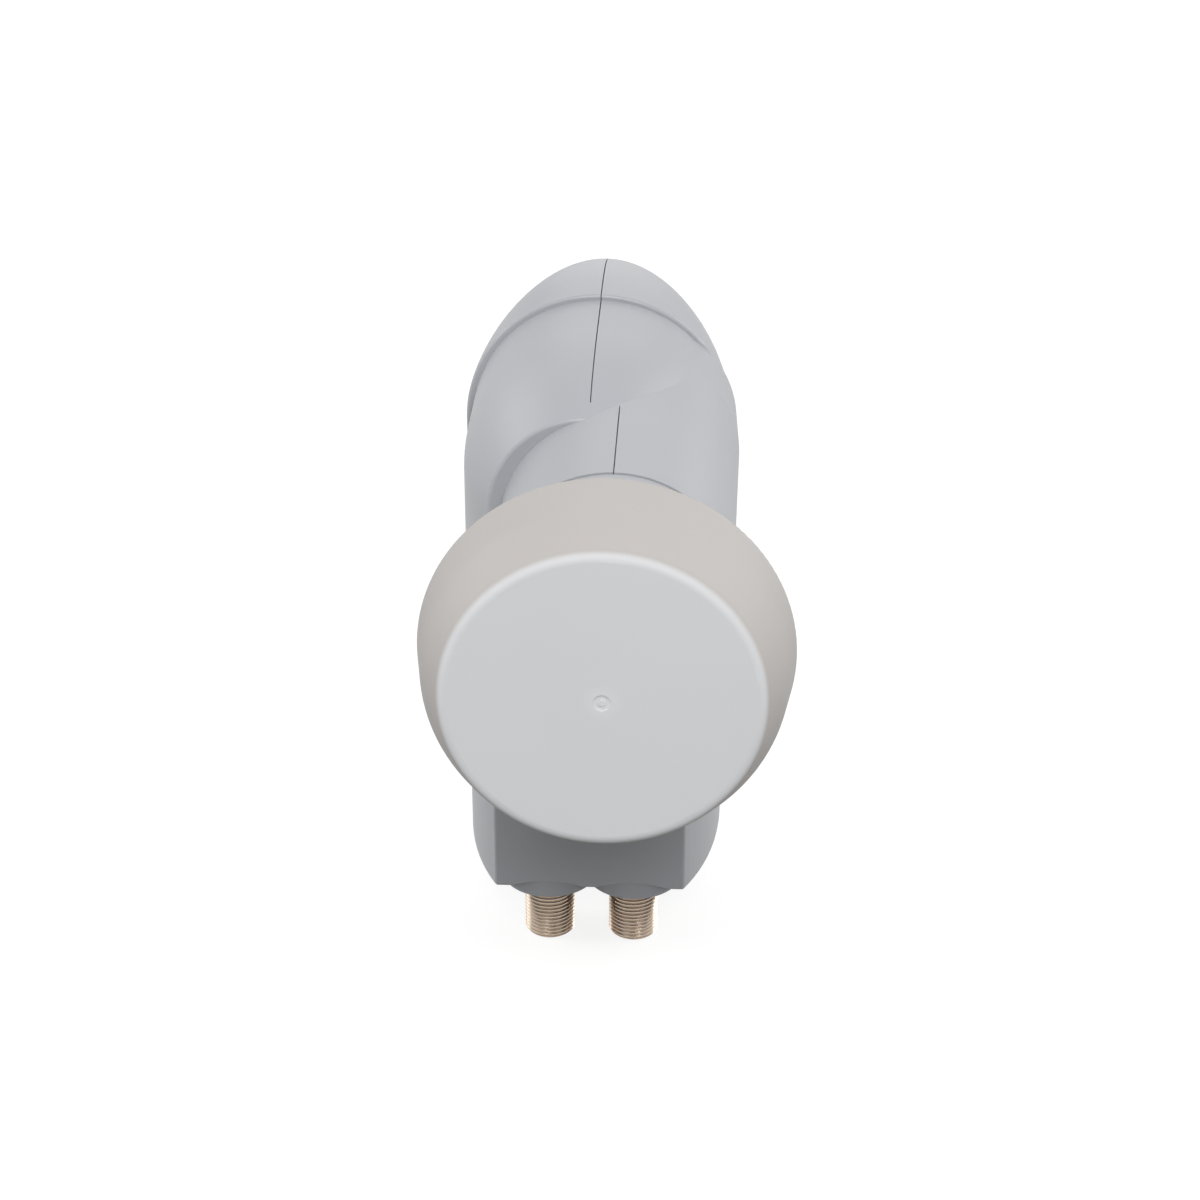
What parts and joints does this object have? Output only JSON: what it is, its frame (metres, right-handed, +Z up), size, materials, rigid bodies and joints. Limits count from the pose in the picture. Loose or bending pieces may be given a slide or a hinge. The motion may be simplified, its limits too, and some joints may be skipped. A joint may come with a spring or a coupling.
{
  "type": "satellite lnb",
  "caption": "Satellite dish receiver head with a round feed cap, a clamp neck, a flared two-shell housing with a rear hood, and threaded coax sockets underneath.",
  "frame": {"origin": "on the feed axis, in the middle of the clamp neck", "axes": "+Y back along the feed axis, away from the dish, +Z up, with the coax sockets pointing down"},
  "size_m": [0.0611, 0.148, 0.121],
  "materials": {
    "cap_plastic": "fine satin, pale grey",
    "shell_plastic": "fine satin, light grey",
    "cast_aluminium": "as cast, painted light grey on the neck",
    "seal_rubber": "matt",
    "plated_brass": "nickel plated",
    "white_insulator": "satin",
    "board_laminate": "satin green",
    "probe_copper": "bare copper",
    "chip_black": "matt",
    "crystal_metal": "satin can",
    "chip_ceramic": "matt ceramic",
    "absorber_rubber": "matt",
    "screw_steel": "zinc plated"
  },
  "bodies": {
    "root": {"feed_cap": "cap_plastic", "left_shell": "shell_plastic", "right_shell": "shell_plastic", "feed_casting": "cast_aluminium", "shield_lid": "cast_aluminium", "cap_seal": "seal_rubber", "collar_seal": "seal_rubber", "connector_seals": "seal_rubber", "lid_gasket": "seal_rubber", "left_connector": "plated_brass", "right_connector": "plated_brass", "left_insulator": "white_insulator", "right_insulator": "white_insulator", "left_contact": "plated_brass", "right_contact": "plated_brass", "circuit_board": "board_laminate", "horizontal_probe": "probe_copper", "vertical_probe": "probe_copper", "amplifier_transistors": "chip_black", "converter_chips": "chip_black", "control_chip": "chip_black", "regulator": "chip_black", "crystal": "crystal_metal", "chip_capacitors": "chip_ceramic", "absorber_pad": "absorber_rubber", "lid_screws": "screw_steel"}
  },
  "joints": []
}
